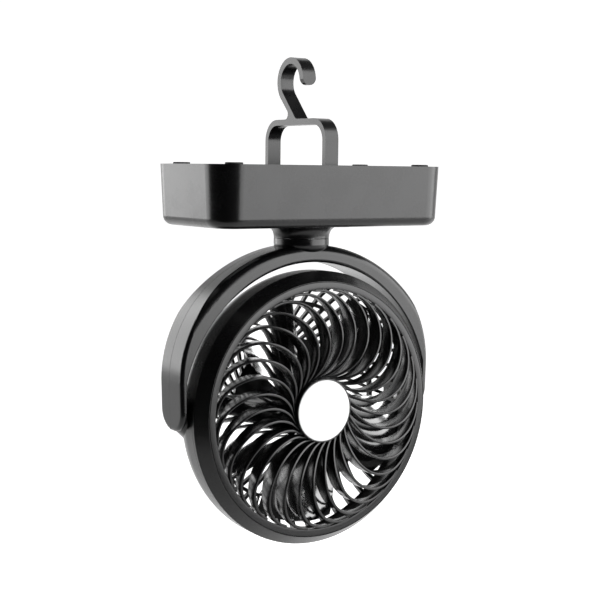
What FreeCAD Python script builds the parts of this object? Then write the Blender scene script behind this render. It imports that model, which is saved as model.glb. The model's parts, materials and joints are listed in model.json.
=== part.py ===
import FreeCAD, Part
import math
import os
import Sketcher

# Portable camping fan that hangs upside down by a folding hook.
# Lengths are millimetres. The model is drawn about two local origins and then shifted:
#   case frame: middle of the feet-side face of the battery case, +X right, -Y front, +Z up
#   head frame: the tilt axis, same directions
# The shift puts the throat of the hanging hook at the origin of the file.

os.makedirs("parts", exist_ok=True)
V = FreeCAD.Vector
doc = FreeCAD.newDocument("camping_fan")
sheet = doc.addObject("Spreadsheet::Sheet", "dims")
_row = [1]


class Q:
    """A number and the sheet expression that makes it."""

    def __init__(self, v, t):
        self.v = float(v)
        self.t = t

    def __add__(self, o):
        return Q(self.v + val(o), "(%s + %s)" % (self.t, txt(o)))

    def __radd__(self, o):
        return Q(val(o) + self.v, "(%s + %s)" % (txt(o), self.t))

    def __sub__(self, o):
        return Q(self.v - val(o), "(%s - %s)" % (self.t, txt(o)))

    def __rsub__(self, o):
        return Q(val(o) - self.v, "(%s - %s)" % (txt(o), self.t))

    def __mul__(self, o):
        return Q(self.v * val(o), "(%s * %s)" % (self.t, txt(o)))

    def __rmul__(self, o):
        return Q(val(o) * self.v, "(%s * %s)" % (txt(o), self.t))

    def __truediv__(self, o):
        return Q(self.v / val(o), "(%s / %s)" % (self.t, txt(o)))

    def __neg__(self):
        return Q(-self.v, "(0 - %s)" % self.t)


def val(x):
    return x.v if isinstance(x, Q) else float(x)


def txt(x):
    if isinstance(x, Q):
        return x.t
    return "(0 - %.6f)" % -x if x < 0 else "%.6f" % x


def root(x):
    return Q(math.sqrt(val(x)), "sqrt(%s)" % txt(x))


def D(alias, value):
    r = _row[0]
    _row[0] += 1
    sheet.set("A%d" % r, alias)
    sheet.set("B%d" % r, "%g" % value)
    sheet.setAlias("B%d" % r, alias)
    return Q(value, "dims.%s" % alias)


def bind(obj, prop, q):
    if isinstance(q, Q):
        obj.setExpression(prop, q.t)


def place(obj, x=0, y=0, z=0, rot=None):
    obj.Placement = FreeCAD.Placement(V(val(x), val(y), val(z)), rot or FreeCAD.Rotation())
    for k, q in (("x", x), ("y", y), ("z", z)):
        if isinstance(q, Q):
            obj.setExpression(".Placement.Base." + k, q.t)


# ---------------------------------------------------------------- sizes
shift_x = D("shift_x", 1.2)
shift_y = D("shift_y", -5.3)
shift_z = D("shift_z", -48.8)

case_w = D("case_width", 158)
case_d = D("case_depth", 80.4)
case_t = D("case_height", 35.2)
case_r = D("case_corner", 15.9)
case_draft = D("case_draft", 1.7)
case_edge = D("case_edge_round", 5.5)
wall = D("case_wall", 3.0)
ledge = D("cover_ledge", 1.8)
floor_t = D("case_floor", 2.4)
cover_t = D("cover_thickness", 2.4)
cover_gap = D("cover_gap", 0.15)
neck_r = D("neck_radius", 16.5)
neck_fl = D("neck_flare", 7.0)
neck_z = D("neck_end", -42.6)
bore_r = D("neck_bore", 12.0)
boss_z = D("neck_boss_top", -27.0)

foot_r = D("foot_radius", 5.0)
foot_x = D("foot_pos_x", 64.06)
foot_y = D("foot_pos_y", 30.4)
foot_h = D("foot_stand", 1.0)
foot_in = D("foot_inset", 0.8)
cs_x = D("cover_screw_x", 71.4)
cs_y = D("cover_screw_y", 27.0)
post_r = D("post_radius", 3.2)
scr_r = D("case_screw_radius", 1.25)

hk_x = D("hook_mid_x", -1.2)
hk_w = D("hook_width", 9.0)
hk_yo = D("bail_outer", 32.4)
hk_yi = D("bail_inner", 29.2)
hk_zo = D("bail_outer_top", 26.8)
hk_zi = D("bail_inner_top", 23.3)
hk_ro = D("bail_outer_round", 12.5)
hk_zb = D("bail_leg_end", -9.2)
ax_z = D("fold_axis_z", -4.7)
ty = D("throat_y", 5.3)
tz = D("throat_z", 48.8)
th_r = D("throat_radius", 10.2)
th_o = D("throat_outer", 14.0)
pin_r = D("fold_pin_radius", 1.5)
pin_h = D("fold_pin_hole", 1.55)
tray_z = D("tray_depth", 9.8)
tray_w = D("tray_wall", 1.8)
tray_x0 = D("tray_left", -7.5)
tray_x1 = D("tray_mid", 31.4)
tray_x2 = D("tray_right", 68.0)
tray_y = D("tray_half", 33.2)
tray_y1 = D("tray_low", -11.0)
tray_y2 = D("tray_high", 21.4)

piv_z = D("pivot_z", -142.6)
yk_f = D("yoke_front", -13.4)
yk_b = D("yoke_back", 12.6)
yk_s = D("yoke_seam", 1.0)
yk_ro = D("yoke_outer_radius", 99.6)
yk_co = D("yoke_outer_centre", -146.1)
yk_ri = D("yoke_inner_radius", 85.9)
yk_arm = D("yoke_arm_inner", 83.2)
yk_end = D("yoke_arm_end", -150.4)
yk_tip = D("yoke_tip_round", 12.0)
yk_edge = D("yoke_edge_round", 2.2)
yk_edi = D("yoke_inner_edge_round", 0.7)
yk_big = D("yoke_arch_round", 2.2)
yk_bf = D("yoke_arch_round_front", 5.5)
yk_bb = D("yoke_arch_round_back", 5.5)
yk_ch = D("yoke_channel_wall", 3.8)
col_z = D("collar_top", -43.0)
col_b = D("collar_low", -46.5)
stem_r = D("stem_radius", 9.95)
stem_i = D("stem_bore", 6.0)
stem_fr = D("stem_flange", 12.6)
stem_f0 = D("stem_flange_low", -46.4)
stem_f1 = D("stem_flange_top", -44.8)
stem_z = D("stem_top", -20.2)
bush_i = D("bush_bore", 10.0)

pp_r = D("tilt_pin_radius", 3.0)
pp_fr = D("tilt_pin_flange", 5.5)
pb_i = D("tilt_bush_bore", 3.05)
pb_o = D("tilt_bush_outer", 5.0)
hb_r = D("head_boss_radius", 14.0)
hb_x = D("head_boss_end", 82.7)
hb_n = D("head_boss_neck", 9.2)

gr_y = D("grille_face", -24.3)
gr_ri = D("grille_ring_inner", 71.1)
gr_ro = D("grille_ring_outer", 75.2)
gr_n = 30
bar_w = D("bar_width", 1.55)
hub_r = D("hub_radius", 19.0)
hub_y = D("hub_face", -26.9)
bz_r = D("bezel_radius", 81.3)
bz_y = D("bezel_rim", -15.2)
cg_y = D("cage_back", 15.0)
cg_w = D("cage_wall", 2.6)
cg_n = 45
fan_r = D("impeller_radius", 69.0)
fan_h = D("impeller_hub", 17.0)
shaft_r = D("shaft_radius", 1.5)
can_r = D("motor_radius", 15.0)

btn_x = D("button_x", 10.0)
btn_y = D("button_y", -28.3)
btn_r = D("button_radius", 4.3)
btn_h = D("button_hole", 4.6)
stem_rnd = D("stem_round", 3.0)
leg_rnd = D("leg_round", 4.4)
tongue_rnd = D("tongue_round", 4.3)
capr = D("capacitor_radius", 3.0)
caph = D("capacitor_height", 7.0)
nut_h = D("nut_height", 3.6)
ys_x1, ys_r1 = D("yoke_screw_inner_x", 30.5), D("yoke_screw_inner_ring", 90.4)
ys_x2, ys_r2 = D("yoke_screw_outer_x", 67.0), D("yoke_screw_outer_ring", 90.4)
cell_r = D("cell_radius", 9.2)
cell_z = D("cell_mid_z", -21.5)
brd_z0 = D("control_board_low", -27.5)
brd_t = D("board_thickness", 1.6)
cb_z = D("charge_board_top", -21.63)
cap_z = D("button_low", -36.3)
fl_z = D("button_flange_low", -32.5)
yk_tx = D("yoke_tangent_x", 57.9)
yk_sx = D("yoke_side_x", 87.2)
yk_sz = D("yoke_side_z", -122.0)
yk_sr = D("yoke_side_radius", 70.0)
yk_bx = D("yoke_bottom_x", 86.4)
cone_y = D("bezel_cone_end", -17.0)
bz_s = D("cage_screw_ring", 74.9)
bar_b = D("bar_back", -20.5)
a_r, c_r = D("bar_arc_inner", 28.17), D("bar_arc_outer", 21.21)
bulge_r = D("bar_bulge_radius", 54.0)
bc_r, bc_y = D("bar_bulge_centre_r", 45.2), D("bar_bulge_centre_y", 23.0)
sh_r = D("cage_shoulder", 20.0)
m_y0 = D("motor_front", -4.0)
imp_y0, imp_y1 = D("impeller_front", -18.4), D("impeller_back", 1.4)
blade_t = D("blade_thickness", 1.7)
rotor_a = D("rotor_rest_angle", 18.0)
doc.recompute()

# ---------------------------------------------------------------- helpers
NODES = {}


def node(obj, label, head=False):
    obj.Label = label
    place(obj, shift_x, shift_y, shift_z + piv_z if head else shift_z)
    NODES[label] = obj
    return obj


def body(name):
    b = doc.addObject("PartDesign::Body", name)
    return b


def plane(b, role):
    return [f for f in b.Origin.OriginFeatures if f.Role == role][0]


def sketch(b, role, off=0, ox=0, oy=0):
    """Sketch on an origin plane. XY: normal +Z. XZ: x=X, y=Z, normal -Y. YZ: x=Y, y=Z, normal +X.
    off is the coordinate of the sketch plane along the named axis."""
    sk = b.newObject("Sketcher::SketchObject", b.Name + "_s")
    sk.AttachmentSupport = [(plane(b, role), "")]
    sk.MapMode = "FlatFace"
    o = -off if role == "XZ_Plane" else off
    sk.AttachmentOffset = FreeCAD.Placement(V(val(ox), val(oy), val(o)), FreeCAD.Rotation())
    for k, q in (("x", ox), ("y", oy), ("z", o)):
        if isinstance(q, Q):
            sk.setExpression(".AttachmentOffset.Base." + k, q.t)
    return sk


def pin_point(sk, geo, pos, x, y):
    for typ, axis, q in (("DistanceX", -2, x), ("DistanceY", -1, y)):
        if not isinstance(q, Q) and abs(q) < 1e-9:
            sk.addConstraint(Sketcher.Constraint("PointOnObject", geo, pos, axis))
            continue
        c = sk.addConstraint(Sketcher.Constraint(typ, -1, 1, geo, pos, val(q)))
        if isinstance(q, Q):
            nm = "d%d" % c
            sk.renameConstraint(c, nm)
            sk.setExpression("Constraints." + nm, q.t)


def rad(sk, geo, q):
    c = sk.addConstraint(Sketcher.Constraint("Radius", geo, val(q)))
    if isinstance(q, Q):
        sk.renameConstraint(c, "r%d" % c)
        sk.setExpression("Constraints.r%d" % c, q.t)


def poly(sk, verts, arcs=None):
    """Closed outline. arcs: index of segment -> (radius, +1 counter-clockwise | -1 clockwise[, 'major'])."""
    arcs = arcs or {}
    n = len(verts)
    P = [(val(x), val(y)) for x, y in verts]
    ends = []
    for i in range(n):
        a, b2 = P[i], P[(i + 1) % n]
        if i in arcs:
            R, sg = val(arcs[i][0]), arcs[i][1]
            s = -sg if len(arcs[i]) > 2 else sg
            dx, dy = b2[0] - a[0], b2[1] - a[1]
            d = math.hypot(dx, dy)
            hh = math.sqrt(max(R * R - d * d / 4, 0))
            cx = (a[0] + b2[0]) / 2 - s * hh * dy / d
            cy = (a[1] + b2[1]) / 2 + s * hh * dx / d
            a0 = math.atan2(a[1] - cy, a[0] - cx)
            a1 = math.atan2(b2[1] - cy, b2[0] - cx)
            if sg < 0:
                a0, a1 = a1, a0
            if a1 <= a0:
                a1 += 2 * math.pi
            g = sk.addGeometry(Part.ArcOfCircle(Part.Circle(V(cx, cy, 0), V(0, 0, 1), R), a0, a1), False)
            ends.append((g, 1, 2) if sg > 0 else (g, 2, 1))
        else:
            g = sk.addGeometry(Part.LineSegment(V(a[0], a[1], 0), V(b2[0], b2[1], 0)), False)
            ends.append((g, 1, 2))
    for i in range(n):
        g, s, e = ends[i]
        g2, s2, e2 = ends[(i + 1) % n]
        sk.addConstraint(Sketcher.Constraint("Coincident", g, e, g2, s2))
    for i in range(n):
        g, s, e = ends[i]
        pin_point(sk, g, s, verts[i][0], verts[i][1])
    for i in arcs:
        rad(sk, ends[i][0], arcs[i][0])
    return sk


def circ(sk, x, y, r):
    g = sk.addGeometry(Part.Circle(V(val(x), val(y), 0), V(0, 0, 1), val(r)), False)
    pin_point(sk, g, 3, x, y)
    rad(sk, g, r)
    return g


def rect(sk, x0, x1, y0, y1):
    return poly(sk, [(x0, y0), (x1, y0), (x1, y1), (x0, y1)])


def rrect(sk, x0, x1, y0, y1, r):
    v = [(x0 + r, y0), (x1 - r, y0), (x1, y0 + r), (x1, y1 - r), (x1 - r, y1), (x0 + r, y1), (x0, y1 - r), (x0, y0 + r)]
    return poly(sk, v, {1: (r, 1), 3: (r, 1), 5: (r, 1), 7: (r, 1)})


def feat(b, typ, sk, **kw):
    f = b.newObject("PartDesign::" + typ, b.Name + "_" + typ)
    f.Profile = sk
    for k, q in kw.items():
        if isinstance(q, Q):
            setattr(f, k, q.v)
            f.setExpression(k, q.t)
        else:
            setattr(f, k, q)
    return f


def vol(b):
    doc.recompute()
    s = b.Shape
    if s.isNull():
        raise RuntimeError(b.Name + " is null")
    return s.Volume


def pad(b, sk, length, along=1):
    """along=+1 grows toward the sketch normal, -1 away from it."""
    f = feat(b, "Pad", sk, Length=length, Reversed=(along < 0))
    vol(b)
    return f


def cut(b, sk, length, along=-1):
    """along=+1 cuts toward the sketch normal, -1 away from it."""
    v0 = vol(b)
    f = feat(b, "Pocket", sk, Length=length, Reversed=(along > 0))
    v1 = vol(b)
    if not v1 < v0 - 1e-3:
        raise RuntimeError("%s %s removed nothing" % (b.Name, f.Name))
    return f


def revolve(b, sk, axis="H_Axis", ang=360):
    f = b.newObject("PartDesign::Revolution", b.Name + "_Rev")
    f.Profile = sk
    f.ReferenceAxis = (sk, [axis])
    f.Angle = ang
    vol(b)
    return f


def groove(b, sk, axis="H_Axis"):
    v0 = vol(b)
    f = b.newObject("PartDesign::Groove", b.Name + "_Groove")
    f.Profile = sk
    f.ReferenceAxis = (sk, [axis])
    f.Angle = 360
    v1 = vol(b)
    if not v1 < v0 - 1e-3:
        raise RuntimeError("%s %s removed nothing" % (b.Name, f.Name))
    return f


def polar(b, f, role, n):
    p = b.newObject("PartDesign::PolarPattern", b.Name + "_Polar")
    p.Originals = [f]
    p.Axis = (plane(b, role), [""])
    p.Angle = 360
    p.Occurrences = n
    b.Tip = p
    vol(b)
    return p


def mirrored(b, fs, role):
    m = b.newObject("PartDesign::Mirrored", b.Name + "_Mir")
    m.Originals = fs if isinstance(fs, list) else [fs]
    m.MirrorPlane = (plane(b, role), [""])
    b.Tip = m
    vol(b)
    return m


def fillet(b, pick, r, kind="Fillet"):
    doc.recompute()
    tip = b.Tip
    names = ["Edge%d" % (i + 1) for i, e in enumerate(tip.Shape.Edges) if pick(e)]
    if not names:
        raise RuntimeError(b.Name + ": no edge for the fillet")
    f = b.newObject("PartDesign::" + kind, b.Name + "_" + kind)
    f.Base = (tip, names)
    if kind == "Fillet":
        f.Radius = val(r)
        bind(f, "Radius", r)
    else:
        f.Size = val(r)
        bind(f, "Size", r)
    vol(b)
    if "Invalid" in f.State or f.Shape.isNull() or not f.Shape.isValid():
        raise RuntimeError(b.Name + ": fillet failed")
    return f


def near(e, **kw):
    """All points of the edge within the given coordinate ranges: x=(lo, hi) ..."""
    pts = [v.Point for v in e.Vertexes] + [e.valueAt((e.FirstParameter + e.LastParameter) / 2)]
    for k, (lo, hi) in kw.items():
        for p in pts:
            if not lo - 1e-4 <= getattr(p, k) <= hi + 1e-4:
                return False
    return True


def box(name, x0, x1, y0, y1, z0, z1):
    o = doc.addObject("Part::Box", name)
    for prop, q in (("Length", x1 - x0), ("Width", y1 - y0), ("Height", z1 - z0)):
        setattr(o, prop, val(q))
        bind(o, prop, q)
    place(o, x0, y0, z0)
    return o


ROT = {
    "x": FreeCAD.Rotation(V(0, 1, 0), 90),
    "y": FreeCAD.Rotation(V(1, 0, 0), -90),
    "z": FreeCAD.Rotation(),
}


def cyl(name, axis, x, y, z, r, length):
    """Cylinder that starts at x, y, z and runs along +axis."""
    o = doc.addObject("Part::Cylinder", name)
    o.Radius = val(r)
    bind(o, "Radius", r)
    o.Height = val(length)
    bind(o, "Height", length)
    place(o, x, y, z, ROT[axis])
    return o


def cutout(name, base, *tools):
    for i, t in enumerate(tools):
        c = doc.addObject("Part::Cut", "%s_%d" % (name, i))
        c.Base, c.Tool = base, t
        base = c
    return base


def fuse(name, *objs):
    f = doc.addObject("Part::MultiFuse", name)
    f.Shapes = list(objs)
    return f


def group(name, *objs):
    c = doc.addObject("Part::Compound", name)
    c.Links = list(objs)
    return c


def mirror(obj, *axes):
    """The object and its mirror images about the named axes of its frame."""
    out = [obj]
    for a in axes:
        new = []
        for o in out:
            m = doc.addObject("Part::Mirroring", obj.Name + "_m" + a)
            m.Source = o
            m.Normal = {"x": V(1, 0, 0), "y": V(0, 1, 0), "z": V(0, 0, 1)}[a]
            m.Base = V(0, 0, 0)
            new.append(m)
        out += new
    return out


def turned(name, verts, arcs=None, axis="z"):
    """Turned piece. axis z: verts are (radius, z). axis y or x: verts are (along, radius)."""
    b = body(name)
    if axis == "z":
        revolve(b, poly(sketch(b, "XZ_Plane"), verts, arcs), "V_Axis")
    elif axis == "y":
        revolve(b, poly(sketch(b, "YZ_Plane"), verts, arcs), "H_Axis")
    else:
        revolve(b, poly(sketch(b, "XZ_Plane"), verts, arcs), "H_Axis")
    return b


# ================================================================ battery case
hw, hd = case_w / 2, case_d / 2
b = body("case_tub")
s1 = rrect(sketch(b, "XY_Plane"), -hw, hw, -hd, hd, case_r)
bw, bd = hw - case_draft, hd - case_draft
s2 = rrect(sketch(b, "XY_Plane", -case_t), -bw, bw, -bd, bd, case_r - case_draft)
loft = b.newObject("PartDesign::AdditiveLoft", "case_loft")
loft.Profile = s1
loft.Sections = [s2]
loft.Ruled = True
vol(b)
fillet(b, lambda e: near(e, z=(-case_t.v, -case_t.v)), case_edge)
ix, iy, ir = hw - wall - ledge, hd - wall - ledge, case_r - wall - ledge
cut(b, rrect(sketch(b, "XY_Plane"), -ix, ix, -iy, iy, ir), case_t - floor_t)
cx, cy, cr = hw - wall, hd - wall, case_r - wall
cut(b, rrect(sketch(b, "XY_Plane"), -cx, cx, -cy, cy, cr), cover_t)
revolve(b, poly(sketch(b, "XZ_Plane"),
                [(bore_r - 1, neck_z), (neck_r, neck_z), (neck_r, -(case_t + neck_fl)), (neck_r + neck_fl, -case_t),
                 (neck_r + neck_fl, -case_t + 1), (16, -case_t + 1), (16, boss_z), (bore_r - 1, boss_z)],
                {2: (neck_fl, -1)}), "V_Axis")
sk = sketch(b, "XY_Plane", boss_z)
circ(sk, 0, 0, bore_r)
cut(b, sk, boss_z - neck_z + 1)
sk = sketch(b, "XY_Plane", -cover_t)
for sx in (1, -1):
    for sy in (1, -1):
        circ(sk, cs_x * sx, cs_y * sy, post_r)
pad(b, sk, case_t - floor_t - cover_t + 0.5, -1)
sk = sketch(b, "XY_Plane", -cover_t)
for sx in (1, -1):
    for sy in (1, -1):
        circ(sk, cs_x * sx, cs_y * sy, scr_r)
cut(b, sk, 12)
# standoffs of the control board and of the charging board
sk = sketch(b, "XY_Plane", -(case_t - floor_t) - 0.5)
for px, py in ((22.5, -31.5), (-22.5, -31.5), (22.5, -20.5), (-22.5, -20.5)):
    circ(sk, px, py, 2.2)
pad(b, sk, 5.8, 1)
sk = sketch(b, "XY_Plane", -(case_t - floor_t) - 0.5)
for px, py in ((8.5, 22.0), (-8.5, 22.0), (8.5, 31.0), (-8.5, 31.0)):
    circ(sk, px, py, 2.0)
pad(b, sk, 10.07, 1)
# openings: buttons, indicator, LED windows, charging socket
sk = sketch(b, "XY_Plane", -case_t - 1)
circ(sk, btn_x, btn_y, btn_h)
circ(sk, -btn_x, btn_y, btn_h)
circ(sk, 0, btn_y, 1.6)
cut(b, sk, floor_t + 2, 1)
sk = sketch(b, "XY_Plane", -case_t - 1)
rrect(sk, 33, 63, -8, 8, 2)
cut(b, sk, floor_t + 2, 1)
sk = sketch(b, "XY_Plane", -case_t - 1)
rrect(sk, -63, -33, -8, 8, 2)
cut(b, sk, floor_t + 2, 1)
sk = sketch(b, "XZ_Plane", 34)
rrect(sk, -4.8, 4.8, -21.95, -18.05, 1.9)
cut(b, sk, 10, -1)
node(b, "base_housing")

# ---------------------------------------------------------------- cover plate with the hook recess
b = body("cover_plate")
gx, gy, gr = cx - cover_gap, cy - cover_gap, cr - cover_gap
pad(b, rrect(sketch(b, "XY_Plane"), -gx, gx, -gy, gy, gr), cover_t, -1)


def tray(sk, g, g2):
    x0, x1, x2, yy, a, c = tray_x0 - g, tray_x1 + g, tray_x2 + g, tray_y + g, tray_y1 - g, tray_y2 + g
    return poly(sk, [(x0, -yy), (x1, -yy), (x1, a), (x2, a), (x2, c), (x1, c), (x1, yy), (x0, yy)])


pad(b, tray(sketch(b, "XY_Plane"), tray_w, 0), tray_z + tray_w, -1)
cut(b, tray(sketch(b, "XY_Plane", 1), 0, 0), tray_z + 1)
for y0, y1 in ((25.2, 28.6), (-28.6, -25.2)):
    pad(b, rect(sketch(b, "XY_Plane", -tray_z - 0.5), hk_x - 4, hk_x + 4, y0, y1), tray_z - 0.5, 1)
sk = sketch(b, "XZ_Plane", 34.6)
circ(sk, hk_x, ax_z, pin_r)
cut(b, sk, 69.2, 1)
sk = sketch(b, "XY_Plane", 1)
for sx in (1, -1):
    for sy in (1, -1):
        circ(sk, cs_x * sx, cs_y * sy, scr_r + 0.3)
cut(b, sk, 6)
sk = sketch(b, "XY_Plane", 1)
for sx in (1, -1):
    for sy in (1, -1):
        circ(sk, cs_x * sx, cs_y * sy, 2.9)
cut(b, sk, 2.4)
sk = sketch(b, "XY_Plane", 1)
for sx in (1, -1):
    for sy in (1, -1):
        circ(sk, foot_x * sx, foot_y * sy, foot_r)
cut(b, sk, foot_in + 1)
node(b, "base_cover")

b = turned("foot", [(0, -foot_in), (foot_r, -foot_in), (foot_r, foot_h - 0.5), (foot_r - 0.5, foot_h), (0, foot_h)],
           {2: (0.5, 1)})
place(b, foot_x, foot_y, 0)
node(group("feet", *mirror(b, "x", "y")), "rubber_feet")

b = turned("case_screw", [(0, -11.4), (0.5, -11.4), (scr_r, -10.4), (scr_r, -1.4), (2.7, -1.4), (2.7, -0.5),
                          (2.3, -0.15), (1.0, -0.15), (1.0, -0.9), (0, -0.9)])
place(b, cs_x, cs_y, 0)
node(group("case_screws", *mirror(b, "x", "y")), "cover_screws")

# ---------------------------------------------------------------- hanging hook, one moulding
b = body("hook")
hx0 = hk_x - hk_w / 2
ri = hk_ro - (hk_yo - hk_yi)
sk = sketch(b, "YZ_Plane", hx0)
poly(sk, [(-hk_yo, hk_zb), (-hk_yi, hk_zb), (-hk_yi, hk_zi - ri), (-hk_yi + ri, hk_zi), (hk_yi - ri, hk_zi),
          (hk_yi, hk_zi - ri), (hk_yi, hk_zb), (hk_yo, hk_zb), (hk_yo, hk_zo - hk_ro), (hk_yo - hk_ro, hk_zo),
          (-hk_yo + hk_ro, hk_zo), (-hk_yo, hk_zo - hk_ro)],
     {2: (ri, -1), 4: (ri, -1), 8: (hk_ro, 1), 10: (hk_ro, 1)})
pad(b, sk, hk_w, 1)
c45 = math.sqrt(0.5)
sk = sketch(b, "YZ_Plane", hx0)
poly(sk, [(ty + th_o * c45, tz - th_o * c45), (ty, tz + th_o), (ty - th_o, tz), (ty - th_o, tz - 2.6),
          (ty - th_r, tz - 2.6), (ty - th_r, tz), (ty, tz + th_r), (ty + th_r * c45, tz - th_r * c45),
          (-2.8, 25.0), (1.6, 25.0)],
     {0: (th_o, 1), 1: (th_o, 1), 5: (th_r, -1), 6: (th_r, -1)})
pad(b, sk, hk_w, 1)
fillet(b, lambda e: abs(e.BoundBox.XLength - hk_w.v) < 0.01 and near(e, z=(26.7, 26.9), y=(-6, 8)), stem_rnd)
fillet(b, lambda e: near(e, z=(hk_zb.v, hk_zb.v)) and e.BoundBox.YLength > 2, leg_rnd)
fillet(b, lambda e: near(e, z=(46.1, 46.3), y=(-9, -4)) and e.BoundBox.YLength > 2, tongue_rnd)
sk = sketch(b, "XZ_Plane", 40)
circ(sk, hk_x, ax_z, pin_h)
cut(b, sk, 80, 1)
node(b, "hanging_hook")

b = turned("fold_pin", [(26.0, 0), (26.0, pin_r), (34.6, pin_r), (34.6, 0)], axis="y")
place(b, hk_x, 0, ax_z)
node(group("fold_pins", *mirror(b, "y")), "hook_pins")

# ---------------------------------------------------------------- cells, boards, windows
cells = []
for i, x in enumerate((37.3, 56.2)):
    c = turned("cell%d" % i, [(-32.2, 0), (-32.2, cell_r), (31.6, cell_r), (31.6, 4.0), (32.4, 4.0), (32.4, 0)], axis="y")
    place(c, x, 0, cell_z)
    cells.append(c)
node(group("cells", *mirror(cells[0], "x"), *mirror(cells[1], "x")), "battery_cells")

strips = []
for i, (y0, y1) in enumerate(((-32.5, -32.2), (32.4, 32.7))):
    strips += mirror(box("strip%d" % i, Q(33.3, "33.3"), Q(60.2, "60.2"), Q(y0, "(%g)" % y0), Q(y1, "(%g)" % y1),
                         cell_z - 3, cell_z + 3), "x")
node(group("strips", *strips), "cell_strips")

b = box("cboard", Q(-26, "(-26)"), Q(26, "26"), Q(-34.5, "(-34.5)"), Q(-17.2, "(-17.2)"), brd_z0, brd_z0 + brd_t)
chip1 = box("chip1", Q(-14, "(-14)"), Q(-8, "(-8)"), Q(-29, "(-29)"), Q(-23, "(-23)"), brd_z0 + brd_t, brd_z0 + brd_t + 1.1)
chip2 = box("chip2", Q(6, "6"), Q(15, "15"), Q(-31, "(-31)"), Q(-24, "(-24)"), brd_z0 + brd_t, brd_z0 + brd_t + 2.4)
cap1 = cyl("cap1", "z", -2, -26, brd_z0 + brd_t, capr, caph)
node(fuse("control_board_f", b, chip1, chip2, cap1), "control_board")

b = box("qboard", Q(-11.5, "(-11.5)"), Q(11.5, "11.5"), Q(19, "19"), Q(34.6, "34.6"), cb_z - brd_t, cb_z)
chip3 = box("chip3", Q(-8.5, "(-8.5)"), Q(-3.5, "(-3.5)"), Q(21, "21"), Q(26, "26"), cb_z, cb_z + 1.0)
chip4 = box("chip4", Q(2, "2"), Q(9, "9"), Q(20.5, "20.5"), Q(27, "27"), cb_z, cb_z + 3.0)
node(fuse("charge_board_f", b, chip3, chip4), "charge_board")

b = body("socket")
sk = sketch(b, "XZ_Plane", 31.4)
rrect(sk, -4.47, 4.47, -21.63, -18.37, 1.58)
pad(b, sk, 7.4, -1)
sk = sketch(b, "XZ_Plane", 40)
rrect(sk, -4.17, 4.17, -21.33, -18.67, 1.28)
cut(b, sk, 7.6, 1)
sk = sketch(b, "XZ_Plane", 32.2)
rect(sk, -3.35, 3.35, -20.35, -19.65)
pad(b, sk, 5.6, -1)
node(b, "charge_port")

led = []
b = body("led_window")
sk = sketch(b, "XY_Plane", -case_t)
rrect(sk, 33.05, 62.95, -7.95, 7.95, 1.95)
pad(b, sk, floor_t + 0.4, 1)
sk = sketch(b, "XY_Plane", -(case_t - floor_t))
rect(sk, 31.5, 64.5, -9.5, 9.5)
pad(b, sk, 0.6, 1)
sk = sketch(b, "XY_Plane", -case_t - 0.5)
for k in range(9):
    rect(sk, 34.4 + 3.1 * k, 36.0 + 3.1 * k, -6.6, 6.6)
cut(b, sk, 0.9, 1)
led.append(b)
node(group("led_windows", *mirror(led[0], "x")), "led_lenses")

lb_z = -(case_t - floor_t) + 0.6
lb = box("ledboard", Q(32.5, "32.5"), Q(63.5, "63.5"), Q(-8.8, "(-8.8)"), Q(8.8, "8.8"), lb_z, lb_z + 1.0)
node(group("ledboards", *mirror(lb, "x")), "led_boards")

tack = fuse("tack", box("tack_body", btn_x - 3, btn_x + 3, btn_y - 3, btn_y + 3, brd_z0 - 2.4, brd_z0),
            cyl("tack_top", "z", btn_x, btn_y, brd_z0 - 3.1, Q(1.6, "1.6"), Q(1.2, "1.2")))
node(group("tacks", *mirror(tack, "x")), "switches")

b = turned("indicator", [(0, -case_t - 0.2), (1.1, -case_t - 0.2), (1.58, -case_t + 0.1), (1.58, -(case_t - floor_t)),
                         (2.6, -(case_t - floor_t)), (2.6, -(case_t - floor_t) + 0.8), (1.4, -(case_t - floor_t) + 0.8),
                         (1.4, brd_z0 - 0.3), (0, brd_z0 - 0.3)])
place(b, 0, btn_y, 0)
node(group("indicator_g", b), "indicator_lens")

for nm, sx in (("fan_button", 1), ("light_button", -1)):
    prof = [(0, cap_z + 0.35), (2.6, cap_z + 0.1), (3.3, cap_z), (btn_r - 0.4, cap_z), (btn_r, cap_z + 0.4), (btn_r, fl_z), (5.2, fl_z),
            (5.2, fl_z + 0.8), (3.0, fl_z + 0.8), (3.0, fl_z - 1.2), (0, fl_z - 1.2)]
    if sx < 0:
        prof = [(0, cap_z), (btn_r - 0.6, cap_z), (btn_r, cap_z + 0.6), (btn_r, fl_z), (5.2, fl_z),
                (5.2, fl_z + 0.8), (3.0, fl_z + 0.8), (3.0, fl_z - 1.2), (0, fl_z - 1.2)]
    b = turned(nm + "_b", prof)
    place(b, btn_x * sx, btn_y, 0)
    post = cyl(nm + "_post", "z", btn_x * sx, btn_y, fl_z - 1.4, Q(1.5, "1.5"), Q(2.2, "2.2"))
    node(fuse(nm + "_f", b, post), nm)

# ---------------------------------------------------------------- swivel bearing
b = turned("bush", [(bush_i, -42.4), (bore_r - 0.4, -42.4), (bore_r, -42.0), (bore_r, boss_z), (14.5, boss_z),
                    (14.5, boss_z + 1.2), (bush_i, boss_z + 1.2)])
node(b, "swivel_bush")
b = turned("stem", [(stem_i, stem_f0), (stem_fr, stem_f0), (stem_fr, stem_f1), (stem_r, stem_f1),
                    (stem_r, stem_z - 0.5), (stem_r - 0.5, stem_z), (stem_i, stem_z)])
node(b, "swivel_stem")
b = turned("washer", [(stem_r, -25.5), (14.2, -25.5), (14.2, -24.7), (stem_r, -24.7)])
node(b, "stem_washer")
b = body("nut")
sk = sketch(b, "XY_Plane", -24.7)
nr = 13.4
poly(sk, [(nr * math.cos(math.radians(60 * k)), nr * math.sin(math.radians(60 * k))) for k in range(6)])
circ(sk, 0, 0, stem_r)
pad(b, sk, nut_h, 1)
node(b, "stem_nut")

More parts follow.
